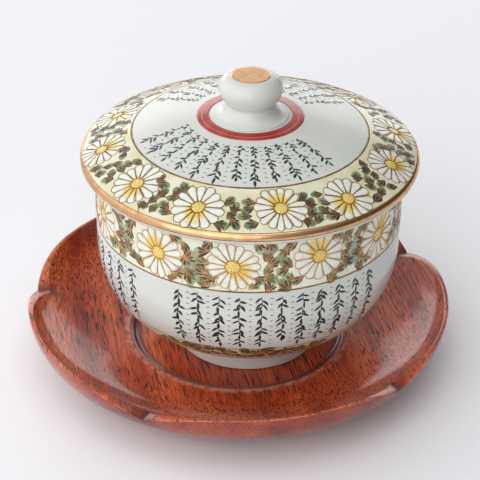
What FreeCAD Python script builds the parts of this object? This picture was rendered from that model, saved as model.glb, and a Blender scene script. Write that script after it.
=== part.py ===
"""Lidded porcelain tea bowl on a five-lobed wooden saucer.

Frame: +Z up, millimetres, origin on the table under the saucer's axis.
Every piece is turned, so each body is a half section drawn in the XZ plane and revolved.
The bowl stands a little off centre in the saucer's wide well, and the lid sits with a little
play on the bowl, so both have an offset along X.
"""
import FreeCAD, Part
import math
import os
import Sketcher

TURN_CCW = 1
TURN_CW = -1

DRIVING = {
    # saucer
    "saucer_radius": 65.2,
    "saucer_height": 19.3,
    "rim_width": 1.1,
    "wall_bend_radius": 13.2,
    "wall_bend_end_radius": 60.3,
    "wall_bend_end_height": 9.0,
    "belly_bend_radius": 36.0,
    "saucer_foot_outer": 38.6,
    "saucer_foot_inner": 33.6,
    "saucer_foot_height": 1.2,
    "dish_bend_end_radius": 57.5,
    "dish_bend_end_height": 12.6,
    "dish_bend_radius": 14.9,
    "dish_curve_radius": 47.6,
    "dish_floor_height": 6.9,
    "well_edge_radius": 34.9,
    "well_bend_radius": 3.4,
    "well_radius": 30.3,
    "well_floor_height": 5.1,
    "notch_count": 5,
    "notch_first_turn": 12.0,
    "notch_bottom_height": 14.1,
    "notch_half_run": 27.0,
    "notch_arc_radius": 72.7,
    "notch_inner_reach": 50.0,
    # bowl
    "bowl_radius": 45.7,
    "bowl_wall": 2.6,
    "lip_height": 66.7,
    "straight_wall_height": 41.0,
    "shoulder_radius": 28.0,
    "underside_radius": 36.0,
    "underside_height": 10.7,
    "foot_outer": 22.0,
    "foot_width": 3.4,
    "foot_gap": 0.05,
    "bowl_off_centre": 2.8,
    # lid
    "lid_radius": 50.0,
    "lid_seat_height": 66.75,
    "dome_radius": 110.0,
    "dome_height": 81.8,
    "dome_wall": 2.8,
    "dome_edge_radius": 48.4,
    "lid_underside_radius": 48.8,
    "lid_rim_round": 2.1,
    "flange_outer": 42.1,
    "flange_inner": 39.9,
    "flange_depth": 4.25,
    "lid_off_centre": 3.05,
    # knob
    "knob_base_radius": 11.3,
    "knob_base_edge": 0.3,
    "knob_flare_radius": 4.3,
    "knob_neck_radius": 7.0,
    "knob_neck_height": 85.2,
    "knob_radius": 9.3,
    "knob_widest_height": 90.0,
    "knob_lower_round": 6.2,
    "knob_upper_round": 3.75,
    "knob_top_radius": 5.6,
    "knob_top_height": 93.7,
}


class Size:
    """A length together with the sheet expression that yields it."""

    def __init__(self, value, text):
        self.value = value
        self.text = text

    def __add__(self, other):
        return Size(self.value + other.value, f"({self.text} + {other.text})")

    def __sub__(self, other):
        return Size(self.value - other.value, f"({self.text} - {other.text})")

    def __mul__(self, other):
        return Size(self.value * other.value, f"({self.text} * {other.text})")

    def __truediv__(self, other):
        return Size(self.value / other.value, f"({self.text} / {other.text})")

    def root(self):
        return Size(math.sqrt(self.value), f"sqrt({self.text})")


ZERO = Size(0.0, "0")


def size(alias):
    return Size(float(DRIVING[alias]), f"Sizes.{alias}")


def fill_sheet(doc):
    sheet = doc.addObject("Spreadsheet::Sheet", "Sizes")
    for row, (alias, value) in enumerate(DRIVING.items(), start=1):
        sheet.set(f"A{row}", alias)
        sheet.set(f"B{row}", str(value))
        sheet.setAlias(f"B{row}", alias)
    doc.recompute()


def origin_feature(body, role):
    return next(item for item in body.Origin.OriginFeatures if item.Role == role)


def plane_sketch(body, name, role):
    sketch = body.newObject("Sketcher::SketchObject", name)
    sketch.AttachmentSupport = [(origin_feature(body, role), "")]
    sketch.MapMode = "FlatFace"
    return sketch


def arc_between(start, end, radius, turn):
    """The shorter arc from start to end that turns left (TURN_CCW) or right (TURN_CW)."""
    chord = end - start
    middle = (start + end) * 0.5
    rise = math.sqrt(radius ** 2 - (chord.Length / 2) ** 2)
    left = FreeCAD.Vector(-chord.y, chord.x, 0).normalize()
    centre = middle + left * (rise * turn)
    through = centre - left * (radius * turn)
    if turn == TURN_CCW:
        return Part.Arc(start, through, end)
    return Part.Arc(end, through, start)


def add_bound(sketch, constraint, amount):
    index = sketch.addConstraint(constraint)
    sketch.setExpression(f"Constraints[{index}]", amount.text)


def draw_outline(sketch, start, steps):
    """Close an outline whose corners and arc radii are all bound to the sheet.

    Each step is (x, y) for a straight edge or (x, y, radius, turn) for an arc, and the last
    step returns to the start.
    """
    here = start
    joints = []
    for step in steps:
        a = FreeCAD.Vector(here[0].value, here[1].value, 0)
        b = FreeCAD.Vector(step[0].value, step[1].value, 0)
        if len(step) == 2:
            edge = sketch.addGeometry(Part.LineSegment(a, b), False)
            first, last = 1, 2
        else:
            radius, turn = step[2:]
            edge = sketch.addGeometry(arc_between(a, b, radius.value, turn), False)
            add_bound(sketch, Sketcher.Constraint("Radius", edge, radius.value), radius)
            first, last = (1, 2) if turn == TURN_CCW else (2, 1)
        joints.append((edge, first, last))
        here = step
    for index, (edge, _, last) in enumerate(joints):
        following, begin, _ = joints[(index + 1) % len(joints)]
        sketch.addConstraint(Sketcher.Constraint("Coincident", edge, last, following, begin))
        x, y = steps[index][:2]
        add_bound(sketch, Sketcher.Constraint("DistanceX", -1, 1, edge, last, x.value), x)
        add_bound(sketch, Sketcher.Constraint("DistanceY", -1, 1, edge, last, y.value), y)


def turned_body(doc, label, start, steps):
    """A PartDesign body: one half section revolved about its own vertical axis."""
    body = doc.addObject("PartDesign::Body", label)
    body.Label = label
    sketch = plane_sketch(body, f"{label}_section", "XZ_Plane")
    draw_outline(sketch, start, steps)
    turned = body.newObject("PartDesign::Revolution", f"{label}_turned")
    turned.Profile = sketch
    turned.ReferenceAxis = (sketch, ["V_Axis"])
    turned.Angle = 360
    doc.recompute()
    return body


def make_saucer(doc):
    foot_recess = size("saucer_foot_height")
    floor = size("well_floor_height")
    well_bend = size("well_bend_radius")
    half = Size(2.0, "2")
    bend_middle = ((size("well_edge_radius") + size("well_radius")) / half,
                   (size("dish_floor_height") + floor) / half)
    start = (ZERO, foot_recess)
    steps = [
        (size("saucer_foot_inner"), foot_recess),
        (size("saucer_foot_inner"), ZERO),
        (size("saucer_foot_outer"), ZERO),
        (size("saucer_foot_outer") + foot_recess, foot_recess),
        (size("wall_bend_end_radius"), size("wall_bend_end_height"), size("belly_bend_radius"), TURN_CCW),
        (size("saucer_radius"), size("saucer_height"), size("wall_bend_radius"), TURN_CCW),
        (size("saucer_radius") - size("rim_width"), size("saucer_height")),
        (size("dish_bend_end_radius"), size("dish_bend_end_height"), size("dish_bend_radius"), TURN_CW),
        (size("well_edge_radius"), size("dish_floor_height"), size("dish_curve_radius"), TURN_CW),
        bend_middle + (well_bend, TURN_CCW),
        (size("well_radius"), floor, well_bend, TURN_CW),
        (ZERO, floor),
        start,
    ]
    body = turned_body(doc, "saucer", start, steps)
    cut_notches(doc, body)
    body.setExpression("Placement.Rotation.Angle", "Sizes.notch_first_turn * 1deg")
    return body


def cut_notches(doc, body):
    """Cut one radial V notch with convex arms, then repeat it round the rim."""
    run = size("notch_half_run")
    top = size("saucer_height")
    above = top + size("rim_width")
    arm = size("notch_arc_radius")
    sketch = plane_sketch(body, "notch_section", "XZ_Plane")
    sketch.AttachmentOffset = FreeCAD.Placement(FreeCAD.Vector(0, 0, -1), FreeCAD.Rotation())
    sketch.setExpression("AttachmentOffset.Base.z", "-1 * Sizes.notch_inner_reach")
    start = (ZERO - run, top)
    draw_outline(sketch, start, [
        (ZERO, size("notch_bottom_height"), arm, TURN_CW),
        (run, top, arm, TURN_CW),
        (run, above),
        (ZERO - run, above),
        start,
    ])
    before = body.Shape.Volume
    notch = body.newObject("PartDesign::Pocket", "notch")
    notch.Profile = sketch
    notch.setExpression("Length", "Sizes.saucer_radius - Sizes.notch_inner_reach + Sizes.rim_width")
    notch.Reversed = False
    doc.recompute()
    if body.Shape.Volume > before - 1.0:
        raise RuntimeError("the notch cut nothing")
    notches = body.newObject("PartDesign::PolarPattern", "notches")
    notches.Originals = [notch]
    notches.Axis = (origin_feature(body, "Z_Axis"), [""])
    notches.Angle = 360
    notches.setExpression("Occurrences", "Sizes.notch_count")
    body.Tip = notches
    doc.recompute()


class BowlCurve:
    """The cup's outer side: a straight wall, a shoulder arc and a flatter underside arc."""

    def __init__(self):
        self.shoulder = size("shoulder_radius")
        self.underside = size("underside_radius")
        self.shoulder_x = size("bowl_radius") - self.shoulder
        self.shoulder_z = size("straight_wall_height")
        self.underside_z = size("underside_height") + self.underside
        reach = self.underside - self.shoulder
        drop = self.underside_z - self.shoulder_z
        self.away_x = (reach * reach - drop * drop).root() / reach
        self.away_z = drop / reach
        self.underside_x = self.shoulder_x - self.away_x * reach

    def tangent_point(self, inset):
        """Where the two arcs meet on the surface that lies inset inside the outer one."""
        radius = self.shoulder - inset
        return self.shoulder_x + self.away_x * radius, self.shoulder_z - self.away_z * radius

    def underside_height_at(self, x):
        sideways = x - self.underside_x
        return self.underside_z - (self.underside * self.underside - sideways * sideways).root()


def shift(body, alias):
    """Stand a body off centre along X."""
    body.setExpression("Placement.Base.x", f"Sizes.{alias}")


def make_bowl_cup(doc, curve):
    wall = size("bowl_wall")
    lip_round = wall / Size(2.0, "2")
    lip_side = size("lip_height") - lip_round
    outer = size("bowl_radius")
    inner = outer - wall
    floor = size("underside_height") + wall
    start = (ZERO, size("underside_height"))
    return turned_body(doc, "bowl_cup", start, [
        (curve.underside_x, size("underside_height")),
        curve.tangent_point(ZERO) + (curve.underside, TURN_CCW),
        (outer, curve.shoulder_z, curve.shoulder, TURN_CCW),
        (outer, lip_side),
        (outer - lip_round, size("lip_height"), lip_round, TURN_CCW),
        (inner, lip_side, lip_round, TURN_CCW),
        (inner, curve.shoulder_z),
        curve.tangent_point(wall) + (curve.shoulder - wall, TURN_CW),
        (curve.underside_x, floor, curve.underside - wall, TURN_CW),
        (ZERO, floor),
        start,
    ])


def make_bowl_foot_ring(doc, curve):
    outer = size("foot_outer")
    inner = outer - size("foot_width")
    bottom = size("well_floor_height") + size("foot_gap")
    start = (inner, bottom)
    return turned_body(doc, "bowl_foot_ring", start, [
        (outer, bottom),
        (outer, curve.underside_height_at(outer)),
        (inner, curve.underside_height_at(inner), curve.underside, TURN_CW),
        start,
    ])


def dome_surface_height(x, inset):
    """Height of the lid's outer sphere, or of the one inset below it, at radius x."""
    radius = size("dome_radius") - inset
    centre = size("dome_height") - size("dome_radius")
    return centre + (radius * radius - x * x).root()


def make_lid_dome(doc):
    wall = size("dome_wall")
    seat = size("lid_seat_height")
    edge = size("dome_edge_radius")
    flange_bottom = seat - size("flange_depth")
    start = (ZERO, size("dome_height") - wall)
    return turned_body(doc, "lid_dome", start, [
        (size("flange_inner"), dome_surface_height(size("flange_inner"), wall),
         size("dome_radius") - wall, TURN_CW),
        (size("flange_inner"), flange_bottom),
        (size("flange_outer"), flange_bottom),
        (size("flange_outer"), seat),
        (size("lid_underside_radius"), seat),
        (edge, dome_surface_height(edge, ZERO), size("lid_rim_round"), TURN_CCW),
        (ZERO, size("dome_height"), size("dome_radius"), TURN_CCW),
        start,
    ])


def make_lid_knob(doc):
    base = size("knob_base_radius")
    base_height = dome_surface_height(base, ZERO)
    start = (ZERO, size("dome_height"))
    return turned_body(doc, "lid_knob", start, [
        (base, base_height, size("dome_radius"), TURN_CW),
        (base, base_height + size("knob_base_edge")),
        (size("knob_neck_radius"), size("knob_neck_height"), size("knob_flare_radius"), TURN_CW),
        (size("knob_radius"), size("knob_widest_height"), size("knob_lower_round"), TURN_CCW),
        (size("knob_top_radius"), size("knob_top_height"), size("knob_upper_round"), TURN_CCW),
        (ZERO, size("knob_top_height")),
        start,
    ])


def check_document(doc, bodies):
    for item in doc.Objects:
        if "Invalid" in item.State or "Error" in item.State:
            raise RuntimeError(f"{item.Name} failed: {item.State}")
    for body in bodies:
        if body.Shape.isNull() or not body.Shape.isValid():
            raise RuntimeError(f"{body.Label} has no valid shape")


def main():
    doc = FreeCAD.newDocument("lidded_tea_bowl")
    fill_sheet(doc)
    curve = BowlCurve()
    saucer = make_saucer(doc)
    bowl = [make_bowl_cup(doc, curve), make_bowl_foot_ring(doc, curve)]
    lid = [make_lid_dome(doc), make_lid_knob(doc)]
    for body in bowl:
        shift(body, "bowl_off_centre")
    for body in lid:
        shift(body, "lid_off_centre")
    bodies = [saucer] + bowl + lid
    doc.recompute()
    check_document(doc, bodies)
    os.makedirs("parts", exist_ok=True)
    for body in bodies:
        body.Shape.exportStep(f"parts/{body.Label}.step")
        box = body.Shape.BoundBox
        print(f"{body.Label}: {body.Shape.Volume:.1f} mm3, z {box.ZMin:.2f} to {box.ZMax:.2f}, "
              f"x {box.XMin:.2f} to {box.XMax:.2f}, y {box.YMin:.2f} to {box.YMax:.2f}")


main()
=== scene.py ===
"""Lidded porcelain tea bowl, painted with daisies, on a five-lobed wooden saucer.

Lengths are in millimetres until a mesh is made, where MM turns them into metres.
"""
import math
import bmesh
import bpy
import numpy as np
from mathutils import Matrix, Vector


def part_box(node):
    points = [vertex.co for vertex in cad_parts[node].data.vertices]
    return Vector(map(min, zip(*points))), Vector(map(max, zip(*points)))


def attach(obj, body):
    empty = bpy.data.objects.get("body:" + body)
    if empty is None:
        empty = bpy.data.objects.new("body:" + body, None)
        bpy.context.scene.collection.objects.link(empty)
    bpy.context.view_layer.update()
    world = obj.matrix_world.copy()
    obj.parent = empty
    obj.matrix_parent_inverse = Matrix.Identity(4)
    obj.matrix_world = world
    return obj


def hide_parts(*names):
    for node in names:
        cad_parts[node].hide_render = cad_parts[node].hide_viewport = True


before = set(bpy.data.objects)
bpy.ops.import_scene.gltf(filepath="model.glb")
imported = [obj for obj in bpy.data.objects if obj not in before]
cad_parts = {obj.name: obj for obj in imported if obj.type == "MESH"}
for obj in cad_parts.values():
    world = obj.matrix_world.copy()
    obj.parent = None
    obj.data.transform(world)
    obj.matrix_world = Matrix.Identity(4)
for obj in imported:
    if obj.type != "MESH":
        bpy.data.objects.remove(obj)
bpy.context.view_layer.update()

MM = 0.001
FULL_TURN = 2 * math.pi
TURN_CCW = 1
TURN_CW = -1
SEED = 7


# ---------------------------------------------------------------- sizes read from the frame
def size_of(node):
    """Centre x, largest radius, lowest and highest point of a turned CAD node, in millimetres."""
    low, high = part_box(node)
    centre = (low.x + high.x) / 2 / MM
    return centre, (high.x - low.x) / 2 / MM, low.z / MM, high.z / MM


BOWL_X, BOWL_RADIUS, UNDERSIDE_Z, LIP_Z = size_of("bowl_cup")
LID_X, _, FLANGE_Z, DOME_Z = size_of("lid_dome")
FOOT_X, FOOT_RADIUS, FOOT_Z, _ = size_of("bowl_foot_ring")
KNOB_X, KNOB_BASE_RADIUS, _, KNOB_TOP_Z = size_of("lid_knob")
SAUCER_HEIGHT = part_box("saucer")[1].z / MM

# arcs and steps of the turned shapes, the same as the CAD model's
BOWL_WALL = 2.6
STRAIGHT_WALL_Z = 41.0
SHOULDER_ROUND = 28.0
UNDERSIDE_ROUND = 36.0
FOOT_WIDTH = 3.4
FOOT_SOFT = 0.5
DOME_ROUND = 110.0
DOME_WALL = 2.8
DOME_EDGE_RADIUS = 48.4
LID_UNDERSIDE_RADIUS = 48.8
LID_SEAT_Z = 66.75
LID_RIM_ROUND = 2.1
FLANGE_OUTER = 42.1
FLANGE_INNER = 39.9
KNOB_TOP_RADIUS = 5.6
KNOB_WIDEST = (9.3, 90.0)
KNOB_WAIST = (7.0, 85.2)
KNOB_TOP_ROUND = 3.75
KNOB_BELLY_ROUND = 6.2
KNOB_FLARE_ROUND = 4.3
KNOB_SKIRT = 0.3
SAUCER_RADIUS = 65.2
RIM_WIDTH = 1.1
SAUCER_FOOT_RADII = (33.6, 38.6, 39.8)
SAUCER_BELLY_Z = 1.2
BELLY_ROUND = 36.0
OUTER_WALL_START = (60.3, 9.0)
OUTER_WALL_ROUND = 13.2
INNER_WALL_START = (57.5, 12.6)
INNER_WALL_ROUND = 14.9
DISH_ROUND = 47.6
WELL_LIP = (34.9, 6.9)
WELL_STEP = (32.6, 6.0)
WELL_STEP_ROUND = 3.4
WELL_RADIUS = 30.3
WELL_FLOOR_Z = 5.1
NOTCH_COUNT = 5
NOTCH_TURN = math.radians(102.0)
NOTCH_HALF_RUN = 27.0
NOTCH_ARM_ROUND = 72.7

# the saucer's mesh: how soft its rim is, points up each wall and columns round it
RIM_SOFT = 0.08
OUTER_CLIMB = 16
INNER_CLIMB = 12
SAUCER_COLUMNS = 480
SHARP_ANGLE = math.radians(30)

# the saucer's grain and painted light: 1 is a painted highlight, 0.5 is neither and 0 is painted
# shade
GRAIN_TURN = math.radians(12.0)
NOTCH_SHADE_TURN = math.radians(2.4)
NOTCH_SHADE_DROP = 4.0
# painted shade that darkens the outer wall towards a dark purplish brown
OUTSIDE_SHADE = 0.25
# painted highlight along the rim's edges, strongest at the outer edge
RIM_HIGHLIGHT = (1.0, 0.64, 0.55, 0.74)
# painted highlight on the well's lip and painted shade in the groove inside it
WELL_SHADE_AND_HIGHLIGHT_RADII = (30.0, 31.0, 32.9, 33.8, 34.4, 35.1, 36.4)
WELL_SHADE_AND_HIGHLIGHT = (0.5, 0.05, 0.0, 0.5, 1.0, 0.9, 0.5)

# how far each kind of paint stands off the glaze
WASH_LIFT = 0.012
LEAF_LIFT = 0.02
DASH_LIFT = 0.025
INK_LIFT = 0.03
GILT_LIFT = 0.04
LEAF_STROKE_LIFT = 0.045
BOWL_LINE_LIFT = 0.05
RED_LIFT = 0.05
LID_LINE_LIFT = 0.06
VEIN_LIFT = 0.08
OUTLINE_LIFT = 0.09
FLOWER_MIDDLE_LIFT = 0.12
STIPPLE_LIFT = 0.19

# heights of the painted bands on the bowl, and what the daisy band and the ink columns hold
BOWL_DAISY_Z = 57.6
BOWL_FIRST_DAISY = math.radians(-155)
BOWL_DAISY_SIZE = 7.9
BOWL_LEAF_REACH = (-6.4, 6.3)
BOWL_DASH_PITCH = 1.9
BOWL_DAISY_BAND = (LIP_Z - 0.5, 49.3)
BOWL_UPPER_LINE = (49.5, 49.0)
BOWL_INK_BAND = (47.8, 29.3)
BOWL_LOWER_LINE = (27.4, 26.9)
BOWL_LOWER_BAND = (27.0, 20.6)
BOWL_GARLAND_Z = 24.3

# radii of the painted bands on the lid, and what the daisy band and the ink columns hold
LID_DAISY_RADIUS = 42.6
LID_FIRST_DAISY = math.radians(-170)
LID_DAISY_SIZE = 7.5
LID_LEAF_REACH = (-6.1, 4.8)
LID_DASH_PITCH = 1.8
RED_RING = (12.0, 15.7)
RED_RING_LINE = (14.0, 14.4)
LID_INK_BAND = (18.0, 33.2)
LID_LINE = (34.4, 34.95)
LID_DAISY_BAND = (34.8, 49.0)
LID_GILT_RADIUS = 48.8

# the rim's gilding stops this far short of the underside, and the knob's runs between these ways
LID_GILT_STOP = 1.9
KNOB_GILT_WAYS = (0.02, 5.75)

# the camera, in millimetres from the middle of the lid's rim; pitch, yaw and roll in degrees
LID_RIM_Z = LID_SEAT_Z + 2.25
CAMERA_PLACE = (3.6, -402.2, 218.35)
CAMERA_TURNS = (31.8, 0.46, 0.573)
CAMERA_LENS = 116.2
CAMERA_SENSOR = 36.0


# ---------------------------------------------------------------- half sections
def arc(start, end, radius, turn, step=0.5):
    """Points of the shorter arc from start to end, without its first point."""
    start, end = np.array(start, float), np.array(end, float)
    chord = end - start
    length = np.hypot(*chord)
    left = np.array([-chord[1], chord[0]]) / length
    centre = (start + end) / 2 + left * math.sqrt(radius ** 2 - length ** 2 / 4) * turn
    first = math.atan2(*(start - centre)[::-1])
    sweep = 2 * math.asin(length / 2 / radius) * turn
    count = max(6, int(abs(sweep) * radius / step))
    angles = first + sweep * np.arange(1, count + 1) / count
    return [tuple(centre + radius * np.array([math.cos(a), math.sin(a)])) for a in angles]


def line(start, end, step=1.0):
    """Points of the straight run from start to end, without its first point."""
    length = math.dist(start, end)
    count = max(1, int(length / step))
    return [tuple(np.array(start) + (np.array(end) - np.array(start)) * i / count)
            for i in range(1, count + 1)]


def route(start, *steps):
    """Points through steps of (x, z) for a straight run or (x, z, radius, turn) for an arc."""
    points = [tuple(start)]
    for step in steps:
        here = points[-1]
        points += line(here, step) if len(step) == 2 else arc(here, step[:2], *step[2:])
    return points


def bowl_curve(inset):
    """(tangent point, underside centre x) of the shoulder and underside arcs."""
    shoulder_x = BOWL_RADIUS - SHOULDER_ROUND
    reach = UNDERSIDE_ROUND - SHOULDER_ROUND
    drop = UNDERSIDE_Z + UNDERSIDE_ROUND - STRAIGHT_WALL_Z
    across = math.sqrt(reach ** 2 - drop ** 2)
    radius = SHOULDER_ROUND - inset
    point = (shoulder_x + across / reach * radius, STRAIGHT_WALL_Z - drop / reach * radius)
    return point, shoulder_x - across


def dome_z(radius, inset=0.0):
    """Height of the lid's dome, or of its inside when inset by the wall."""
    return DOME_Z - DOME_ROUND + math.sqrt((DOME_ROUND - inset) ** 2 - radius ** 2)


def bowl_outside():
    """From the lip down to the axis."""
    tangent, underside_x = bowl_curve(0.0)
    lip_round = BOWL_WALL / 2
    return route((BOWL_RADIUS - lip_round, LIP_Z),
                 (BOWL_RADIUS, LIP_Z - lip_round, lip_round, TURN_CW),
                 (BOWL_RADIUS, STRAIGHT_WALL_Z),
                 tangent + (SHOULDER_ROUND, TURN_CW),
                 (underside_x, UNDERSIDE_Z, UNDERSIDE_ROUND, TURN_CW),
                 (0.0, UNDERSIDE_Z))


def bowl_inside():
    """From the axis up to the lip."""
    tangent, underside_x = bowl_curve(BOWL_WALL)
    inner = BOWL_RADIUS - BOWL_WALL
    lip_round = BOWL_WALL / 2
    floor = UNDERSIDE_Z + BOWL_WALL
    return route((0.0, floor), (underside_x, floor),
                 tangent + (UNDERSIDE_ROUND - BOWL_WALL, TURN_CCW),
                 (inner, STRAIGHT_WALL_Z, SHOULDER_ROUND - BOWL_WALL, TURN_CCW),
                 (inner, LIP_Z - lip_round),
                 (BOWL_RADIUS - lip_round, LIP_Z, lip_round, TURN_CW))


def lid_outside():
    """From the apex over the rim to the underside's edge."""
    return route((0.0, DOME_Z),
                 (DOME_EDGE_RADIUS, dome_z(DOME_EDGE_RADIUS), DOME_ROUND, TURN_CW),
                 (LID_UNDERSIDE_RADIUS, LID_SEAT_Z, LID_RIM_ROUND, TURN_CW))


def lid_inside():
    """From the underside's edge round the flange to the axis."""
    return route((LID_UNDERSIDE_RADIUS, LID_SEAT_Z), (FLANGE_OUTER, LID_SEAT_Z),
                 (FLANGE_OUTER, FLANGE_Z), (FLANGE_INNER, FLANGE_Z),
                 (FLANGE_INNER, dome_z(FLANGE_INNER, DOME_WALL)),
                 (0.0, DOME_Z - DOME_WALL, DOME_ROUND - DOME_WALL, TURN_CCW))


def knob_outline():
    """From the middle of its top, lowered by the gilding's thickness, round to the dome's apex."""
    base_z = dome_z(KNOB_BASE_RADIUS)
    top_z = KNOB_TOP_Z - GILT_LIFT
    return route((0.0, top_z), (KNOB_TOP_RADIUS, top_z),
                 KNOB_WIDEST + (KNOB_TOP_ROUND, TURN_CW),
                 KNOB_WAIST + (KNOB_BELLY_ROUND, TURN_CW),
                 (KNOB_BASE_RADIUS, base_z + KNOB_SKIRT, KNOB_FLARE_ROUND, TURN_CCW),
                 (KNOB_BASE_RADIUS, base_z),
                 (0.0, DOME_Z, DOME_ROUND, TURN_CCW))


def foot_outline():
    """From the bowl's underside down the outside of the foot ring and up its inside."""
    inner = FOOT_RADIUS - FOOT_WIDTH
    soft = FOOT_SOFT
    _, underside_x = bowl_curve(0.0)
    centre_z = UNDERSIDE_Z + UNDERSIDE_ROUND
    tops = [centre_z - math.sqrt(UNDERSIDE_ROUND ** 2 - (x - underside_x) ** 2)
            for x in (inner, FOOT_RADIUS)]
    return route((FOOT_RADIUS, tops[1]), (FOOT_RADIUS, FOOT_Z + soft),
                 (FOOT_RADIUS - soft, FOOT_Z, soft, TURN_CW),
                 (inner + soft, FOOT_Z),
                 (inner, FOOT_Z + soft, soft, TURN_CW),
                 (inner, tops[0]))


# ---------------------------------------------------------------- meshes
def finish_piece(name, points, faces, body, material, smooth=True):
    """Make an object from points in millimetres and let it ride on a CAD body."""
    mesh = bpy.data.meshes.new(name)
    mesh.from_pydata((np.asarray(points) * MM).tolist(), [], faces)
    mesh.update()
    mesh.polygons.foreach_set("use_smooth", [smooth] * len(mesh.polygons))
    mesh.materials.append(material)
    piece = bpy.data.objects.new(name, mesh)
    bpy.context.scene.collection.objects.link(piece)
    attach(piece, body)
    return piece


def turned_mesh(outline, centre_x, segments=360, closed=False):
    """Points and faces of an outline revolved about the vertical axis at centre_x.

    A point on the axis becomes a single pole vertex.
    """
    angles = np.arange(segments) * FULL_TURN / segments
    points, rows, faces = [], [], []
    for radius, z in outline:
        first = len(points)
        if radius < 1e-6:
            points.append((centre_x, 0.0, z))
            rows.append([first] * segments)
        else:
            points += zip(centre_x + radius * np.cos(angles), radius * np.sin(angles),
                          np.full(segments, z))
            rows.append(list(range(first, first + segments)))
    pairs = list(zip(rows, rows[1:]))
    if closed:
        pairs.append((rows[-1], rows[0]))
    for upper, lower in pairs:
        for i in range(segments):
            j = (i + 1) % segments
            corners = [upper[i], lower[i], lower[j], upper[j]]
            kept = [c for k, c in enumerate(corners) if c != corners[k - 1]]
            if len(kept) > 2:
                faces.append(kept)
    return points, faces


def turned_piece(name, outline, centre_x, body, material, closed=False):
    points, faces = turned_mesh(outline, centre_x, closed=closed)
    return finish_piece(name, points, faces, body, material)


class Glaze:
    """A turned surface that patterns are drawn on.

    A place on it is an angle about the axis and a way, the length along the half section.
    """

    def __init__(self, outline, centre_x, fans_out):
        self.r, self.z = np.array(outline, float).T
        steps = np.hypot(np.diff(self.r), np.diff(self.z))
        self.way = np.concatenate([[0.0], np.cumsum(steps)])
        self.centre_x = centre_x
        self.fans_out = fans_out

    def way_at_radius(self, radius):
        """The way at which the section, followed outwards, reaches a radius."""
        peak = int(np.argmax(self.r))
        return float(np.interp(radius, self.r[:peak], self.way[:peak]))

    def way_at_height(self, z):
        return float(np.interp(-z, -self.z, self.way))

    def place(self, angle, way, lift):
        """Points in millimetres, lifted off the surface along its normal."""
        r = np.interp(way, self.way, self.r)
        z = np.interp(way, self.way, self.z)
        ahead, behind = way + 0.2, way - 0.2
        dr = np.interp(ahead, self.way, self.r) - np.interp(behind, self.way, self.r)
        dz = np.interp(ahead, self.way, self.z) - np.interp(behind, self.way, self.z)
        length = np.hypot(dr, dz)
        r = r - dz / length * lift
        z = z + dr / length * lift
        return np.stack([self.centre_x + r * np.cos(angle), r * np.sin(angle), z], -1)

    def across(self, angle, way):
        """Length of an angle as it is painted at a way."""
        return angle * (way if self.fans_out else float(np.interp(way, self.way, self.r)))

    def spread(self, angle, way, u, v):
        """Angle and way of a point u to the right of and v below a place, as it is painted."""
        if self.fans_out:
            reach = np.hypot(u, way + v)
            return angle + np.arctan2(u, way + v), reach
        radius = np.interp(way + v, self.way, self.r)
        return angle + u / radius, way + v


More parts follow.
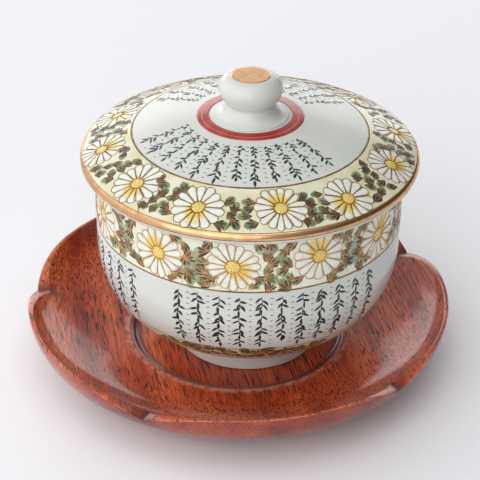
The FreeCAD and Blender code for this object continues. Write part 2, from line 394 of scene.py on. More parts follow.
class Layer:
    """Closed thin shapes, such as brush strokes, gathered into one mesh."""

    UNDER = -0.02

    def __init__(self, glaze):
        self.glaze = glaze
        self.points = []
        self.faces = []
        self.tones = []

    def grid(self, angle, way, u, v, lift, tone):
        """Add a closed plate from a grid of painted places; tone is one colour or one per point."""
        rows, columns = u.shape
        angles, ways = self.glaze.spread(angle, way, u, v)
        top = self.glaze.place(angles, ways, lift).reshape(-1, 3)
        under = self.glaze.place(angles, ways, np.full(u.shape, self.UNDER)).reshape(-1, 3)
        first = len(self.points)
        self.points.extend(top.tolist())
        self.points.extend(under.tolist())
        colours = np.broadcast_to(np.asarray(tone, float), (rows, columns, 3)).reshape(-1, 3)
        self.tones.extend(colours.tolist() * 2)
        index = np.arange(rows * columns).reshape(rows, columns) + first
        depth = rows * columns
        corners = [index[:-1, :-1], index[1:, :-1], index[1:, 1:], index[:-1, 1:]]
        quads = np.stack(corners, -1).reshape(-1, 4)
        self.faces.extend(quads.tolist())
        self.faces.extend((quads[:, ::-1] + depth).tolist())
        edge = np.concatenate([index[0, :-1], index[:-1, -1], index[-1, :0:-1], index[:0:-1, 0]])
        after = np.roll(edge, -1)
        self.faces.extend(np.stack([edge, after, after + depth, edge + depth], -1).tolist())

    def ellipse(self, angle, way, centre, half, turn, lift, tone,
                rows=8, columns=5, edge_tone=None):
        """A rounded blob, highest in the middle."""
        t = np.linspace(-1, 1, rows)[:, None] * 0.985
        w = np.linspace(-1, 1, columns)[None, :]
        along = t * half[0] + 0 * w
        across = np.sqrt(1 - t ** 2) * half[1] * w
        u = centre[0] + along * math.cos(turn) - across * math.sin(turn)
        v = centre[1] + along * math.sin(turn) + across * math.cos(turn)
        away = np.clip(t ** 2 + (1 - t ** 2) * w ** 2, 0, 1)
        tones = np.asarray(tone, float)
        if edge_tone is not None:
            share = (away ** 1.5)[..., None]
            tones = tones * (1 - share) + np.asarray(edge_tone) * share
        self.grid(angle, way, u, v, lift * (1 - 0.75 * away), tones)

    def stroke(self, angle, way, path, widths, lift, tone):
        """A brush stroke along a path of (u, v), with a width at each point."""
        path = np.asarray(path, float)
        widths = np.broadcast_to(np.asarray(widths, float), len(path))
        ahead = np.gradient(path, axis=0)
        ahead /= np.maximum(np.hypot(*ahead.T), 1e-9)[:, None]
        side = np.stack([-ahead[:, 1], ahead[:, 0]], -1)
        w = np.array([-0.5, 0.0, 0.5])
        u = path[:, :1] + side[:, :1] * widths[:, None] * w
        v = path[:, 1:] + side[:, 1:] * widths[:, None] * w
        self.grid(angle, way, u, v, lift * np.array([0.65, 1.0, 0.65]) + 0 * u, tone)

    def piece(self, name, body, material):
        """Make the gathered shapes one object, facing outwards, with their tones."""
        made = finish_piece(name, self.points, self.faces, body, material)
        shells = bmesh.new()
        shells.from_mesh(made.data)
        bmesh.ops.recalc_face_normals(shells, faces=shells.faces)
        shells.to_mesh(made.data)
        shells.free()
        colours = made.data.color_attributes.new("tone", "FLOAT_COLOR", "POINT")
        flat = np.concatenate([np.array(self.tones), np.ones((len(self.tones), 1))], 1)
        colours.data.foreach_set("color", flat.ravel())
        return made


def ring(name, glaze, ends, body, material, lift, segments=360):
    """A thin closed band round a turned surface between two ways."""
    start, end = ends
    ways = np.linspace(start, end, max(3, int(abs(end - start) / 0.35) + 1))
    edge = np.minimum(ways - start, end - ways)
    lifts = lift * (0.3 + 0.7 * np.clip(edge / 0.15, 0, 1))
    angles = np.arange(segments) * FULL_TURN / segments
    a, w = np.meshgrid(angles, ways)
    top = glaze.place(a, w, lifts[:, None] + 0 * a)
    under = glaze.place(a, w, np.full(a.shape, Layer.UNDER))
    loop = np.concatenate([top, under[::-1]])
    index = np.arange(loop.shape[0] * segments).reshape(loop.shape[0], segments)
    below = np.roll(index, -1, 0)
    quads = np.stack([index, below, np.roll(below, -1, 1), np.roll(index, -1, 1)], -1)
    return finish_piece(name, loop.reshape(-1, 3), quads.reshape(-1, 4).tolist(), body, material)


# ---------------------------------------------------------------- materials
def new_material(name):
    material = bpy.data.materials.new(name)
    material.use_nodes = True
    nodes = material.node_tree.nodes
    return material, nodes, material.node_tree.links, nodes["Principled BSDF"]


def mapped_noise(nodes, links, scale, detail=2.0, stretch=(1, 1, 1), turn=0.0):
    """Noise in the piece's own coordinates, turned about Z and then stretched."""
    where = nodes.new("ShaderNodeTexCoord")
    turned = nodes.new("ShaderNodeMapping")
    turned.inputs["Rotation"].default_value = (0, 0, -turn)
    links.new(where.outputs["Object"], turned.inputs["Vector"])
    stretched = nodes.new("ShaderNodeMapping")
    stretched.inputs["Scale"].default_value = stretch
    links.new(turned.outputs["Vector"], stretched.inputs["Vector"])
    noise = nodes.new("ShaderNodeTexNoise")
    noise.inputs["Scale"].default_value = scale
    noise.inputs["Detail"].default_value = detail
    links.new(stretched.outputs["Vector"], noise.inputs["Vector"])
    return noise.outputs["Fac"]


def ramp(nodes, links, factor, *stops):
    """A colour ramp; each stop is (position, colour) or (position, grey)."""
    made = nodes.new("ShaderNodeValToRGB")
    elements = made.color_ramp.elements
    while len(elements) < len(stops):
        elements.new(0.5)
    for element, (position, colour) in zip(elements, stops):
        element.position = position
        shade = (colour,) * 3 if isinstance(colour, (int, float)) else tuple(colour)
        element.color = shade + (1.0,)
    links.new(factor, made.inputs["Fac"])
    return made.outputs["Color"]


def mix(nodes, links, factor, first, second, mode="MIX"):
    """Mix two colours; the factor and the colours are values or sockets."""
    made = nodes.new("ShaderNodeMix")
    made.data_type = "RGBA"
    made.blend_type = mode
    sockets = (made.inputs[0], made.inputs[6], made.inputs[7])
    for value, socket in zip((factor, first, second), sockets):
        if hasattr(value, "links"):
            links.new(value, socket)
        elif isinstance(value, (int, float)):
            socket.default_value = value
        else:
            socket.default_value = tuple(value) + (1.0,)
    return made.outputs[2]


def add_bump(nodes, links, shader, height, strength, distance):
    bump = nodes.new("ShaderNodeBump")
    bump.inputs["Strength"].default_value = strength
    bump.inputs["Distance"].default_value = distance
    links.new(height, bump.inputs["Height"])
    links.new(bump.outputs["Normal"], shader.inputs["Normal"])


def porcelain():
    """White body under a clear glaze with a faint orange-peel and a few pinholes."""
    material, nodes, links, shader = new_material("white_porcelain")
    cloud = mapped_noise(nodes, links, 45.0, detail=3.0)
    colour = ramp(nodes, links, cloud, (0.3, (0.61, 0.63, 0.58)), (0.7, (0.66, 0.675, 0.63)))
    speck = ramp(nodes, links, mapped_noise(nodes, links, 1400.0), (0.76, 0.0), (0.82, 1.0))
    links.new(mix(nodes, links, speck, colour, (0.50, 0.46, 0.38)), shader.inputs["Base Color"])
    shader.inputs["Roughness"].default_value = 0.22
    shader.inputs["IOR"].default_value = 1.45
    shader.inputs["Coat Weight"].default_value = 0.1
    shader.inputs["Coat Roughness"].default_value = 0.08
    shader.inputs["Subsurface Weight"].default_value = 0.12
    shader.inputs["Subsurface Scale"].default_value = 0.002
    add_bump(nodes, links, shader, mapped_noise(nodes, links, 220.0), 0.06, 0.0004)
    return material


def glossy_enamel(shader):
    shader.inputs["Roughness"].default_value = 0.22
    shader.inputs["Coat Weight"].default_value = 0.35
    shader.inputs["Coat Roughness"].default_value = 0.1


def enamel():
    """Overglaze enamel that takes its colour from the painted tone, slightly pooled."""
    material, nodes, links, shader = new_material("painted_enamel")
    tone = nodes.new("ShaderNodeAttribute")
    tone.attribute_name = "tone"
    laid = mapped_noise(nodes, links, 700.0, detail=3.0)
    pooled = ramp(nodes, links, laid, (0.3, 0.84), (0.7, 1.0))
    colour = mix(nodes, links, 1.0, tone.outputs["Color"], pooled, "MULTIPLY")
    links.new(colour, shader.inputs["Base Color"])
    glossy_enamel(shader)
    return material


def ground_enamel(name, thin, thick, green):
    """A wash laid thin and thick, drifting to green where it pooled."""
    material, nodes, links, shader = new_material(name)
    laid = mapped_noise(nodes, links, 130.0, detail=3.0)
    colour = ramp(nodes, links, laid, (0.40, thin), (0.60, thick))
    drift = mapped_noise(nodes, links, 75.0, detail=1.0)
    pooled = ramp(nodes, links, drift, (0.52, 0.0), (0.68, 0.8))
    links.new(mix(nodes, links, pooled, colour, green), shader.inputs["Base Color"])
    glossy_enamel(shader)
    return material


def gilding(name, colour, worn_and_painted_light, metallic, roughness):
    """Fired gold, brushed on and slightly rubbed."""
    material, nodes, links, shader = new_material(name)
    wear_and_painted_light = mapped_noise(nodes, links, 300.0, detail=4.0)
    gold = ramp(nodes, links, wear_and_painted_light, (0.35, worn_and_painted_light), (0.60, colour))
    links.new(gold, shader.inputs["Base Color"])
    rubbed_and_painted_highlight = ramp(nodes, links, wear_and_painted_light, (0.3, roughness + 0.15), (0.6, roughness))
    links.new(rubbed_and_painted_highlight, shader.inputs["Roughness"])
    shader.inputs["Metallic"].default_value = metallic
    add_bump(nodes, links, shader, mapped_noise(nodes, links, 1200.0), 0.1, 0.0001)
    return material


def red_enamel():
    """Iron red brushed round the knob in uneven strokes."""
    material, nodes, links, shader = new_material("iron_red_enamel")
    streak = mapped_noise(nodes, links, 210.0, detail=4.0)
    colour = ramp(nodes, links, streak, (0.33, (0.28, 0.006, 0.005)),
                  (0.52, (0.39, 0.016, 0.012)), (0.70, (0.48, 0.055, 0.045)))
    links.new(colour, shader.inputs["Base Color"])
    glossy_enamel(shader)
    return material


def saucer_wood():
    """Reddish-brown hardwood: broad colour bands and dark pores along the grain, lacquered.

    The painted-light attribute is 1 for a painted highlight on the rim's edges and the well's lip,
    0 for painted shade in the groove of the well, the outside's low value for painted shade on the
    outside and 0.5 on the rest, and it falls towards 0 for painted shade below the notches.
    """
    material, nodes, links, shader = new_material("lacquered_hardwood")
    band_stretch, grain_stretch = (1.6, 0.12, 1.6), (1.0, 0.05, 1.0)
    bands = mapped_noise(nodes, links, 60.0, 4.0, band_stretch, GRAIN_TURN)
    colour = ramp(nodes, links, bands, (0.30, (0.27, 0.028, 0.008)),
                  (0.5, (0.53, 0.076, 0.019)), (0.70, (0.70, 0.145, 0.042)))
    fibres = mapped_noise(nodes, links, 1500.0, 4.0, grain_stretch, GRAIN_TURN)
    fibre = ramp(nodes, links, fibres, (0.32, 0.55), (0.66, 1.15))
    colour = mix(nodes, links, 1.0, colour, fibre, "MULTIPLY")
    pitted = mapped_noise(nodes, links, 2500.0, 1.0, grain_stretch, GRAIN_TURN)
    pores = ramp(nodes, links, pitted, (0.35, 1.0), (0.43, 0.0))
    # a point attribute of painted highlights and painted shade on the wood
    wear_and_painted_light = nodes.new("ShaderNodeAttribute")
    wear_and_painted_light.attribute_name = "wear_and_painted_light"
    filled = ramp(nodes, links, wear_and_painted_light.outputs["Fac"], (OUTSIDE_SHADE, 0.3), (0.45, 1.0))
    pores = mix(nodes, links, 1.0, pores, filled, "MULTIPLY")
    colour = mix(nodes, links, pores, colour, (0.060, 0.011, 0.007))
    # painted shade: darker in the well's groove, on the outer wall and below the notches
    groove_shade = ramp(nodes, links, wear_and_painted_light.outputs["Fac"], (0.0, 0.85), (0.5, 0.0))
    colour = mix(nodes, links, groove_shade, colour, (0.075, 0.016, 0.020))
    # painted highlight on the rim's edges and the well's lip, broken up by noise
    rubbed_and_painted_highlight = ramp(nodes, links, wear_and_painted_light.outputs["Fac"], (0.5, 0.0), (1.0, 1.0))
    patchy = ramp(nodes, links, mapped_noise(nodes, links, 420.0, 3.0), (0.40, 0.10), (0.56, 0.85))
    worn_and_painted_light = mix(nodes, links, 1.0, rubbed_and_painted_highlight, patchy, "MULTIPLY")
    links.new(mix(nodes, links, worn_and_painted_light, colour, (0.62, 0.29, 0.20)), shader.inputs["Base Color"])
    links.new(ramp(nodes, links, pores, (0.0, 0.42), (1.0, 0.7)), shader.inputs["Roughness"])
    shader.inputs["Specular IOR Level"].default_value = 0.15
    shader.inputs["Coat Weight"].default_value = 0.75
    shader.inputs["Coat Roughness"].default_value = 0.12
    add_bump(nodes, links, shader, ramp(nodes, links, pores, (0.0, 1.0), (1.0, 0.0)), 0.35, 0.00012)
    return material


# ---------------------------------------------------------------- saucer
def notch_height(offset):
    """Height of the notched rim at a sideways distance from the notch's centre line."""
    away = NOTCH_HALF_RUN - min(abs(offset), NOTCH_HALF_RUN)
    return SAUCER_HEIGHT - NOTCH_ARM_ROUND + math.sqrt(NOTCH_ARM_ROUND ** 2 - away ** 2)


def rim_point(wall, turn_from_notch):
    """Where the notched rim meets a wall given as rising (radius, z) points."""
    radius = SAUCER_RADIUS
    for _ in range(3):
        z = notch_height(radius * math.sin(turn_from_notch))
        radius = float(np.interp(z, [p[1] for p in wall], [p[0] for p in wall]))
    return radius, z


def climb(wall, top, count):
    """Even points up a wall to just under its top."""
    heights = np.linspace(wall[0][1], top[1] - 0.25, count)
    radii = np.interp(heights, [p[1] for p in wall], [p[0] for p in wall])
    return list(zip(radii, heights))


def well_shade_and_highlight(radius):
    """Painted highlight on the lip of the well and painted shade in the groove inside it."""
    return float(np.interp(radius, WELL_SHADE_AND_HIGHLIGHT_RADII, WELL_SHADE_AND_HIGHLIGHT))


def saucer_walls():
    """The outer and the inner wall above the dish, without the notches."""
    outer_top = (SAUCER_RADIUS, SAUCER_HEIGHT)
    inner_top = (SAUCER_RADIUS - RIM_WIDTH, SAUCER_HEIGHT)
    outer = [OUTER_WALL_START] + arc(OUTER_WALL_START, outer_top, OUTER_WALL_ROUND, TURN_CCW)
    inner = [INNER_WALL_START] + arc(INNER_WALL_START, inner_top, INNER_WALL_ROUND, TURN_CCW)
    return outer, inner


def saucer_underneath():
    """From the axis over the foot ring to just before the outer wall."""
    foot_inner, foot_outer, foot_edge = SAUCER_FOOT_RADII
    return route((0.0, SAUCER_BELLY_Z), (foot_inner, SAUCER_BELLY_Z), (foot_inner, 0.0),
                 (foot_outer, 0.0), (foot_edge, SAUCER_BELLY_Z),
                 OUTER_WALL_START + (BELLY_ROUND, TURN_CCW))[:-1]


def saucer_dish():
    """From just inside the inner wall over the well's lip to the axis."""
    return route(INNER_WALL_START, WELL_LIP + (DISH_ROUND, TURN_CW),
                 WELL_STEP + (WELL_STEP_ROUND, TURN_CCW),
                 (WELL_RADIUS, WELL_FLOOR_Z, WELL_STEP_ROUND, TURN_CW),
                 (0.0, WELL_FLOOR_Z))[1:]


def saucer_section(angle):
    """The saucer's half section at one angle, cut down where a notch crosses it, and its painted
    light: painted highlights and painted shade.
    """
    spacing = FULL_TURN / NOTCH_COUNT
    turn = (angle - NOTCH_TURN + spacing / 2) % spacing - spacing / 2
    outer_wall, inner_wall = saucer_walls()
    outer = rim_point(outer_wall, turn)
    inner = rim_point(inner_wall, turn)
    outside = saucer_underneath() + climb(outer_wall, outer, OUTER_CLIMB)
    rim = [(outer[0] - RIM_SOFT, outer[1] - RIM_SOFT), (outer[0] - 3 * RIM_SOFT, outer[1]),
           (inner[0] + 3 * RIM_SOFT, inner[1]), (inner[0] + RIM_SOFT, inner[1] - RIM_SOFT)]
    inside = climb(inner_wall, inner, INNER_CLIMB)[::-1] + saucer_dish()
    # painted shade on the outside, painted highlight on the rim, and painted highlight and shade
    # about the well
    wear_and_painted_light = [OUTSIDE_SHADE] * len(outside) + list(RIM_HIGHLIGHT) + [well_shade_and_highlight(r) for r, _ in inside]
    # painted shade at each notch, strongest at the rim and fading over NOTCH_SHADE_DROP below it
    notch_shade = math.exp(-(turn / NOTCH_SHADE_TURN) ** 2)
    inside_from = len(outside) + len(rim)
    for level, (_, z) in enumerate(outside + rim + inside):
        below_rim = (outer if level < inside_from else inner)[1] - z
        wear_and_painted_light[level] *= 1 - notch_shade * max(0.0, 1 - below_rim / NOTCH_SHADE_DROP)
    return outside + rim + inside, wear_and_painted_light


def saucer_mesh():
    """Points, faces and painted light values (highlight and shade) of the sections set side by side
    round the axis.
    """
    angles = [FULL_TURN * i / SAUCER_COLUMNS for i in range(SAUCER_COLUMNS)]
    sections = [saucer_section(angle) for angle in angles]
    first_section, first_painted_light = sections[0]
    points, rows, wear_and_painted_light = [], [], []
    for level, (level_radius, level_z) in enumerate(first_section):
        first = len(points)
        if level_radius < 1e-6:
            points.append((0.0, 0.0, level_z))
            rows.append([first] * SAUCER_COLUMNS)
            wear_and_painted_light.append(first_painted_light[level])
            continue
        for angle, (section, worn_and_painted_light) in zip(angles, sections):
            radius, z = section[level]
            points.append((radius * math.cos(angle), radius * math.sin(angle), z))
            wear_and_painted_light.append(worn_and_painted_light[level])
        rows.append(list(range(first, first + SAUCER_COLUMNS)))
    faces = []
    for lower, upper in zip(rows, rows[1:]):
        for i in range(SAUCER_COLUMNS):
            j = (i + 1) % SAUCER_COLUMNS
            corners = [lower[i], lower[j], upper[j], upper[i]]
            faces.append([c for k, c in enumerate(corners) if c != corners[k - 1]])
    return points, faces, wear_and_painted_light


def make_saucer():
    points, faces, wear_and_painted_light = saucer_mesh()
    piece = finish_piece("saucer_turned", points, faces, "saucer", saucer_wood())
    piece.data.set_sharp_from_angle(angle=SHARP_ANGLE)
    # the painted highlights and painted shade are stored per point for the wood's material
    piece.data.attributes.new("wear_and_painted_light", "FLOAT", "POINT").data.foreach_set("value", wear_and_painted_light)
    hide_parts("saucer")


# ---------------------------------------------------------------- painting
PETAL_MIDDLE = (0.86, 0.875, 0.80)
PETAL_EDGE = (0.72, 0.74, 0.52)
YELLOW_BLUSH = (0.84, 0.56, 0.015)
FLOWER_YELLOW = (0.88, 0.66, 0.17)
STIPPLE = (0.24, 0.085, 0.012)
STIPPLE_COUNT = 13
STIPPLE_TURN = 2.4
NO_TONE = (1.0, 1.0, 1.0)
INK = (0.010, 0.012, 0.011)
INK_PALE = (0.10, 0.11, 0.10)
BLADE_SPACING = 0.78

# leaf looks: wash and edge tones, tones of the dark strokes, vein width and range of sizes
LID_LEAVES = {
    "washes": ((0.13, 0.19, 0.07), (0.18, 0.25, 0.10), (0.07, 0.10, 0.04), (0.20, 0.22, 0.09)),
    "edge": (0.44, 0.51, 0.33),
    "strokes": ((0.012, 0.014, 0.007), (0.075, 0.034, 0.013)),
    "vein": 0.32,
    "size": (2.2, 2.9),
}
BOWL_LEAVES = {
    "washes": ((0.24, 0.30, 0.14), (0.32, 0.39, 0.22), (0.17, 0.23, 0.10), (0.32, 0.34, 0.17)),
    "edge": (0.48, 0.53, 0.36),
    "strokes": ((0.040, 0.046, 0.020), (0.14, 0.16, 0.07), (0.15, 0.070, 0.025)),
    "vein": 0.32,
    "size": (2.6, 3.3),
}
GARLAND_LEAVES = {
    "washes": ((0.030, 0.050, 0.018), (0.055, 0.075, 0.025)),
    "edge": (0.10, 0.12, 0.05),
    "strokes": ((0.008, 0.010, 0.005), (0.03, 0.022, 0.010)),
    "vein": 0.18,
    "size": (2.6, 3.4),
}

# (right, down) places of leaves in the gap between two daisies
LEAF_PLACES = ((-5.2, -6.0), (-1.2, -6.2), (3.6, -5.9), (-2.6, -3.9), (1.9, -3.6), (-0.9, -1.4),
               (2.3, -0.9), (-2.2, 1.2), (1.5, 1.8), (-0.9, 4.0), (3.2, 4.2), (-4.1, 4.5),
               (-6.4, 5.9), (5.9, 5.8), (-1.6, 6.2), (2.3, 6.1))

# how each daisy round a band is nudged, in degrees and millimetres
BOWL_DAISIES = ((-1, 0), (2, 0.4), (0, 0.3), (1, -1), (-1, 0.3), (2, 0),
                (-2, 0.5), (1, -0.4), (0, 0.2), (-1, 0.5), (1, 0), (0, -0.3))
LID_DAISIES = ((0, 1.1), (2, -0.7), (1, -0.1), (2, -0.9), (-1, 0.9), (0, 0.4),
               (-2, 0.6), (1, -0.5), (0, 0.6), (-1, 0), (1, 0.4), (2, -0.6))

# leaves of one garland, their spacing and the middles of the three garlands, in degrees
GARLAND_COUNT = 30
GARLAND_STEP = 2.4
GARLAND_MIDDLES = (-92, 28, 148)


def turned_axes(direction, x, y):
    """(u, v) of points x along a direction and y across it."""
    return (x * math.cos(direction) - y * math.sin(direction),
            x * math.sin(direction) + y * math.cos(direction))


def curved_path(start, heading, bend, length, count):
    """A path that turns steadily by bend over its length, and its 0 to 1 positions."""
    t = np.linspace(0, 1, count)
    headings = heading + bend * t
    steps = np.stack([np.cos(headings), np.sin(headings)], -1) * length / (count - 1)
    return np.asarray(start) + np.concatenate([[[0, 0]], np.cumsum(steps[1:], axis=0)]), t


def petal_profile(inner, length, half_width):
    """Positions 0 to 1, distances from the flower's centre and half widths of a petal."""
    t = np.concatenate([np.linspace(0, 0.8, 9), [0.88, 0.94, 0.98, 1.0]])
    along = inner + (length - inner) * t
    swell = half_width * (0.20 + 0.80 * np.clip(t / 0.8, 0, 1))
    cap = np.sqrt(np.clip(1 - (np.clip(t - 0.74, 0, 1) / 0.26) ** 2, 0, 1))
    return t, along, np.where(t > 0.74, swell * cap, swell)


def petal(layers, angle, way, direction, size, reach, width):
    """One petal: a low white mound, yellow up to reach, with a drawn outline."""
    t, along, across = petal_profile(*size)
    w = np.linspace(-1, 1, 5)
    x = along[:, None] + 0 * w
    y = np.maximum(across, 0.03)[:, None] * w * 0.97
    u, v = turned_axes(direction, x, y)
    edge = (np.abs(w) ** 2)[None, :, None]
    tone = np.array(PETAL_MIDDLE) * (1 - edge) + np.array(PETAL_EDGE) * edge
    blush = np.clip(1 - t / max(reach, 0.02), 0, 1)[:, None, None] ** 0.4
    tone = tone * (1 - blush) + np.array(YELLOW_BLUSH) * blush
    mound = 0.02 + 0.05 * np.sin(math.pi * np.clip(t, 0.05, 0.97))[:, None] * (1 - 0.8 * w ** 2)
    layers["petals"].grid(angle, way, u, v, mound, tone)
    outline_x = np.concatenate([along, along[-2::-1]])
    outline_y = np.concatenate([across, -across[-2::-1]])
    outline = np.stack(turned_axes(direction, outline_x, outline_y), -1)
    layers["lines"].stroke(angle, way, outline, width, OUTLINE_LIFT, NO_TONE)


def daisy(layers, angle, way, radius, rng):
    """A daisy of 14 to 16 petals, yellow at the bases on one side, with a dotted middle."""
    petals = int(rng.integers(14, 17))
    inner = radius * 0.26
    blush_side, turn = rng.uniform(0, FULL_TURN, 2)
    for k in range(petals):
        direction = turn + FULL_TURN * (k + rng.uniform(-0.09, 0.09)) / petals
        length = radius * rng.uniform(0.93, 1.05)
        half = math.pi / petals * radius * rng.uniform(0.84, 0.96)
        facing = max(0.0, math.cos(direction - blush_side))
        reach = 0.06 + 0.66 * facing ** 1.5 + rng.uniform(-0.04, 0.08)
        petal(layers, angle, way, direction, (inner, length, half), reach, rng.uniform(0.20, 0.26))
    layers["petals"].ellipse(angle, way, (0, 0), (inner, inner), 0.0,
                             FLOWER_MIDDLE_LIFT, FLOWER_YELLOW)
    circle = np.linspace(0, FULL_TURN, 25)
    edge = np.stack([np.cos(circle), np.sin(circle)], -1) * inner
    layers["lines"].stroke(angle, way, edge, 0.24, FLOWER_MIDDLE_LIFT, NO_TONE)
    for k in range(STIPPLE_COUNT):
        spot = math.sqrt((k + 0.5) / STIPPLE_COUNT) * inner * 0.84
        at = (spot * math.cos(k * STIPPLE_TURN), spot * math.sin(k * STIPPLE_TURN))
        layers["petals"].ellipse(angle, way, at, (0.21, 0.17), k, STIPPLE_LIFT, STIPPLE,
                                 rows=5, columns=4)


def leaf(layers, look, angle, way, centre, turn, rng):
    """A translucent green wash with dark lobes and gold veins fanning from its stalk."""
    size = rng.uniform(*look["size"])
    wash = np.array(rng.choice(look["washes"])) * rng.uniform(0.85, 1.2)
    half = (size, size * rng.uniform(0.66, 0.80))
    layers["leaves"].ellipse(angle, way, centre, half, turn, LEAF_LIFT, wash,
                             rows=9, columns=6, edge_tone=look["edge"])
    stalk = np.array(centre) - 0.90 * size * np.array([math.cos(turn), math.sin(turn)])
    lobes = int(rng.integers(3, 5))
    spread = rng.uniform(0.30, 0.38)
    for k in range(lobes):
        bend = (k - (lobes - 1) / 2) * spread
        length = size * rng.uniform(1.0, 1.4) * math.cos(bend)
        path, t = curved_path(stalk, turn + bend, bend * 0.5, length, 7)
        width = size * rng.uniform(0.27, 0.36) * np.sin(math.pi * (0.08 + 0.86 * t)) ** 0.7
        layers["leaves"].stroke(angle, way, path, width, LEAF_STROKE_LIFT,
                                rng.choice(look["strokes"]))
    for k in range(lobes):
        bend = (k - (lobes - 1) / 2 + 0.4) * spread
        vein, t = curved_path(stalk, turn + bend, bend * 0.5, size * rng.uniform(0.9, 1.45), 7)
        layers["lines"].stroke(angle, way, vein, look["vein"] * (1 - 0.5 * t), VEIN_LIFT, NO_TONE)


def leaf_spray(layers, look, angle, way, reach, rng):
    """Leaves tumbling down the gap between two daisies, within reach above and below."""
    for u, v in LEAF_PLACES:
        centre = (u + rng.uniform(-0.4, 0.4), v + rng.uniform(-0.35, 0.35))
        turn = (0.0 if u < 0 else math.pi) + rng.uniform(-1.4, 1.4)
        if reach[0] <= centre[1] <= reach[1]:
            leaf(layers, look, angle, way, centre, turn, rng)


def ink_sprig(layer, angle, way, centre, height, room, rng):
    """A brushed willow sprig: a curved stem with pointed leaves beside it and one at its tip."""
    lean = rng.choice([-1, 1]) * rng.uniform(0.15, 0.5)
    foot = (centre[0] - 0.3 * lean, centre[1] - height / 2)
    stem, t = curved_path(foot, math.pi / 2 - lean, lean * 2.0, height, 11)
    layer.stroke(angle, way, stem, 0.17 + 0.10 * t, INK_LIFT, INK)
    count = int(height / BLADE_SPACING)
    for k in range(count + 1):
        tip = k == count
        at = stem[-1] if tip else stem[int(round(1 + 9 * k / count))]
        side = 0 if tip else (-1) ** k
        heading = math.pi / 2 + side * rng.uniform(0.75, 1.25)
        length = room * rng.uniform(0.32, 0.47)
        blade, s = curved_path(at, heading, -side * rng.uniform(-0.3, 0.9), length, 8)
        width = rng.uniform(0.56, 0.86) * np.sin(math.pi * s ** 0.8) ** 0.8 + 0.06
        layer.stroke(angle, way, blade, width, INK_LIFT, INK)


def ink_columns(layer, angles, ends, pitch, rng):
    """Columns of ink sprigs with a ladder of short dashes between neighbours."""
    start, end = ends
    middle = (start + end) / 2
    for k, angle in enumerate(angles):
        place = start - middle + rng.uniform(0.0, 0.5)
        while place < end - middle - 2.4:
            height = min(rng.uniform(2.6, 4.6), end - middle - place - 1.2)
            centre = (rng.uniform(-0.25, 0.25), place + height / 2)
            room = layer.glaze.across(angles[1] - angles[0], middle + centre[1])
            ink_sprig(layer, angle, middle, centre, height, room, rng)
            place += height + rng.uniform(1.2, 1.6)
        if k == len(angles) - 1:
            continue
        between = (angle + angles[k + 1]) / 2
        for step in np.arange(start - middle + 0.8, end - middle - 0.4, pitch):
            lean = rng.uniform(-0.12, 0.12)
            half = rng.uniform(0.36, 0.56)
            dash = [(-half, step - half * lean), (0, step), (half, step + half * lean)]
            layer.stroke(between, middle, dash, (0.16, 0.30, 0.18), DASH_LIFT, INK_PALE)


def new_layers(glaze):
    return {name: Layer(glaze) for name in ("petals", "leaves", "lines")}


def paint_daisy_band(layers, look, first, places, way, radius, reach, rng):
    """Daisies round the band, each nudged by its entry in places, with leaves between them."""
    spacing = FULL_TURN / len(places)
    for k, (nudge, _) in enumerate(places):
        after = places[(k + 1) % len(places)][0]
        gap = first + spacing * (k + 0.5) + math.radians((nudge + after) / 2)
        leaf_spray(layers, look, gap, way, reach, rng)
    for k, (nudge, shift) in enumerate(places):
        daisy(layers, first + spacing * k + math.radians(nudge), way + shift, radius, rng)


def paint_leaf_groups(layers, way, rng):
    """Three garlands of dark leaves along the narrow band near the foot."""
    for middle in GARLAND_MIDDLES:
        for k in range(GARLAND_COUNT):
            along = (k - (GARLAND_COUNT - 1) / 2) * GARLAND_STEP
            angle = math.radians(middle + along + rng.uniform(-0.8, 0.8))
            turn = rng.choice([0.0, math.pi]) + rng.uniform(-0.8, 0.8)
            drop = (-1) ** k * rng.uniform(0.6, 2.2)
            leaf(layers, GARLAND_LEAVES, angle, way, (0.0, drop), turn, rng)


# ---------------------------------------------------------------- the pieces
def fan(first, count, step):
    """Evenly spaced angles, given in degrees."""
    return [math.radians(first + step * k) for k in range(count)]


def paint_bowl(glaze, mats):
    rng = np.random.default_rng(SEED)

    def ways(heights):
        return [glaze.way_at_height(z) for z in heights]

    layers = new_layers(glaze)
    daisy_way, garland_way = ways((BOWL_DAISY_Z, BOWL_GARLAND_Z))
    paint_daisy_band(layers, BOWL_LEAVES, BOWL_FIRST_DAISY, BOWL_DAISIES, daisy_way,
                     BOWL_DAISY_SIZE, BOWL_LEAF_REACH, rng)
    paint_leaf_groups(layers, garland_way, rng)
    ink = Layer(glaze)
    for group in (fan(-115, 11, 7.5), fan(-211, 11, 7.5), fan(28, 10, 7.5)):
        ink_columns(ink, group, ways(BOWL_INK_BAND), BOWL_DASH_PITCH, rng)
    ground, brown_gold = mats["bowl_ground"], mats["brown_gold"]
    return [
        ring("bowl_ground_wash", glaze, ways(BOWL_DAISY_BAND), "bowl", ground, WASH_LIFT),
        ring("bowl_lower_wash", glaze, ways(BOWL_LOWER_BAND), "bowl", ground, WASH_LIFT),
        ring("bowl_line_upper", glaze, ways(BOWL_UPPER_LINE), "bowl", brown_gold, BOWL_LINE_LIFT),
        ring("bowl_line_lower", glaze, ways(BOWL_LOWER_LINE), "bowl", brown_gold, BOWL_LINE_LIFT),
        layers["petals"].piece("bowl_daisy_enamel", "bowl", mats["enamel"]),
        layers["leaves"].piece("bowl_leaf_enamel", "bowl", mats["enamel"]),
        layers["lines"].piece("bowl_gold_outlines", "bowl", mats["bright_gold"]),
        ink.piece("bowl_ink_sprigs", "bowl", mats["enamel"]),
    ]


def make_bowl(mats):
    outside = bowl_outside()
    white = mats["porcelain"]
    cup = turned_piece("bowl_cup_glazed", bowl_inside()[:-1] + outside, BOWL_X, "bowl", white)
    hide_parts("bowl_cup")
    foot = turned_piece("bowl_foot_glazed", foot_outline(), FOOT_X, "bowl", white, closed=True)
    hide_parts("bowl_foot_ring")
    painted = paint_bowl(Glaze(outside, BOWL_X, fans_out=False), mats)


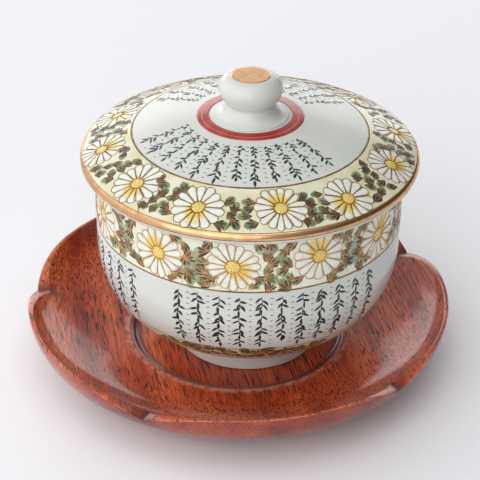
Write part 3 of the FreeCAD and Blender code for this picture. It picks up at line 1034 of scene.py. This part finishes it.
def paint_lid(glaze, mats):
    rng = np.random.default_rng(SEED + 1)

    def ways(radii):
        return [glaze.way_at_radius(radius) for radius in radii]

    layers = new_layers(glaze)
    daisy_way, gilt_way = ways((LID_DAISY_RADIUS, LID_GILT_RADIUS))
    paint_daisy_band(layers, LID_LEAVES, LID_FIRST_DAISY, LID_DAISIES, daisy_way,
                     LID_DAISY_SIZE, LID_LEAF_REACH, rng)
    ink = Layer(glaze)
    for group in (fan(-161, 12, 10.6), fan(31, 12, 10.6)):
        ink_columns(ink, group, ways(LID_INK_BAND), LID_DASH_PITCH, rng)
    gilt_ends = (gilt_way, glaze.way[-1] - LID_GILT_STOP)
    return [
        ring("lid_ground_wash", glaze, ways(LID_DAISY_BAND), "lid", mats["lid_ground"], WASH_LIFT),
        ring("lid_line", glaze, ways(LID_LINE), "lid", mats["brown_gold"], LID_LINE_LIFT),
        ring("lid_gilt_rim", glaze, gilt_ends, "lid", mats["gilt"], LID_LINE_LIFT),
        layers["petals"].piece("lid_daisy_enamel", "lid", mats["enamel"]),
        layers["leaves"].piece("lid_leaf_enamel", "lid", mats["enamel"]),
        layers["lines"].piece("lid_gold_outlines", "lid", mats["brown_gold"]),
        ink.piece("lid_ink_sprigs", "lid", mats["enamel"]),
    ]


def paint_knob(dome, mats):
    """The gilt top and the red ring round the knob's base, centred on the knob."""
    top = Glaze(knob_outline(), KNOB_X, fans_out=True)
    around = Glaze(dome, KNOB_X, fans_out=True)
    red_ways = [around.way_at_radius(radius) for radius in RED_RING]
    line_ways = [around.way_at_radius(radius) for radius in RED_RING_LINE]
    return [
        ring("knob_gilt_disc", top, KNOB_GILT_WAYS, "lid", mats["gilt"], GILT_LIFT),
        ring("lid_red_ring", around, red_ways, "lid", mats["red"], RED_LIFT),
        ring("lid_red_ring_line", around, line_ways, "lid", mats["bright_gold"], VEIN_LIFT),
    ]


def make_lid(mats):
    outside = lid_outside()
    white = mats["porcelain"]
    dome = turned_piece("lid_dome_glazed", outside + lid_inside()[1:], LID_X, "lid", white)
    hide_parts("lid_dome")
    knob = turned_piece("lid_knob_glazed", knob_outline(), KNOB_X, "lid", white)
    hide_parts("lid_knob")
    painted = paint_lid(Glaze(outside, LID_X, fans_out=True), mats) + paint_knob(outside, mats)


# ---------------------------------------------------------------- stage
def make_floor():
    """A pale table top, wide enough to reach the horizon in low views."""
    material, _, _, shader = new_material("pale_table")
    shader.inputs["Base Color"].default_value = (0.905, 0.908, 0.93, 1)
    shader.inputs["Roughness"].default_value = 0.6
    bpy.ops.mesh.primitive_plane_add(size=30.0, location=(0, 0, -0.0002))
    floor = bpy.context.object
    floor.name = "table_top"
    floor.data.materials.append(material)


def make_light(name, place, size, power, colour):
    """A rectangular lamp that faces the object."""
    light = bpy.data.lights.new(name, "AREA")
    light.shape = "RECTANGLE"
    light.size, light.size_y = size
    light.energy = power
    light.color = colour
    lamp = bpy.data.objects.new(name, light)
    bpy.context.scene.collection.objects.link(lamp)
    lamp.location = place
    lamp.rotation_euler = (-Vector(place)).to_track_quat("-Z", "Y").to_euler()


def make_world():
    """Soft room light, bright from the window side on the left and dim on the right."""
    world = bpy.data.worlds.new("room_light")
    bpy.context.scene.world = world
    world.use_nodes = True
    nodes, links = world.node_tree.nodes, world.node_tree.links
    where = nodes.new("ShaderNodeTexCoord")
    toward = nodes.new("ShaderNodeVectorMath")
    toward.operation = "DOT_PRODUCT"
    toward.inputs[1].default_value = (-0.42, -0.02, 0.12)
    links.new(where.outputs["Generated"], toward.inputs[0])
    shifted = nodes.new("ShaderNodeMath")
    shifted.operation = "ADD"
    shifted.inputs[1].default_value = 0.5
    links.new(toward.outputs["Value"], shifted.inputs[0])
    shade = ramp(nodes, links, shifted.outputs["Value"], (0.20, (0.025, 0.022, 0.02)),
                 (0.50, (0.44, 0.44, 0.45)), (0.85, (0.98, 0.98, 1.0)))
    links.new(shade, nodes["Background"].inputs["Color"])
    nodes["Background"].inputs["Strength"].default_value = 1.03


def make_camera():
    """Seen from the front, looking down."""
    camera = bpy.data.cameras.new("camera")
    camera.lens = CAMERA_LENS
    camera.sensor_width = CAMERA_SENSOR
    camera.clip_start = 0.01
    placed = bpy.data.objects.new("camera", camera)
    bpy.context.scene.collection.objects.link(placed)
    x, y, above_rim = CAMERA_PLACE
    placed.location = Vector((x, y, LID_RIM_Z + above_rim)) * MM
    pitch, yaw, roll = [math.radians(turn) for turn in CAMERA_TURNS]
    turned = Matrix.Rotation(yaw, 3, "Z") @ Matrix.Rotation(math.pi / 2 - pitch, 3, "X")
    placed.rotation_euler = (turned @ Matrix.Rotation(roll, 3, "Z")).to_euler()
    bpy.context.scene.camera = placed


def decorated_materials():
    """The materials of the bowl and the lid by name."""
    return {
        "porcelain": porcelain(),
        "lid_ground": ground_enamel("lid_ground", thin=(0.77, 0.75, 0.57),
                                    thick=(0.68, 0.645, 0.38), green=(0.60, 0.67, 0.50)),
        "bowl_ground": ground_enamel("bowl_ground", thin=(0.80, 0.785, 0.66),
                                     thick=(0.75, 0.725, 0.52), green=(0.62, 0.71, 0.57)),
        "enamel": enamel(),
        "red": red_enamel(),
        "brown_gold": gilding("brown_gold", (0.33, 0.19, 0.075), (0.15, 0.075, 0.028), 0.5, 0.34),
        "bright_gold": gilding("bright_gold", (0.66, 0.35, 0.13), (0.42, 0.20, 0.07), 0.5, 0.34),
        "gilt": gilding("gilt", (0.74, 0.44, 0.22), (0.60, 0.33, 0.16), 0.9, 0.18),
    }


def main():
    mats = decorated_materials()
    make_saucer()
    make_bowl(mats)
    make_lid(mats)
    make_floor()
    make_world()
    make_light("window", (-1.0, 0.2, 0.8), (1.0, 1.0), 1.1, (1.0, 0.99, 0.97))
    make_light("front_fill", (-0.45, -1.0, 0.65), (1.4, 1.0), 7.5, (0.99, 0.99, 1.0))
    make_light("overhead", (0.05, -0.3, 1.3), (1.0, 0.8), 2.5, (0.97, 0.99, 1.0))
    make_light("back_window", (-0.12, 1.15, 0.31), (1.5, 0.56), 4.0, (1.0, 1.0, 1.0))
    make_camera()
    bpy.context.scene.view_settings.view_transform = "Standard"


main()
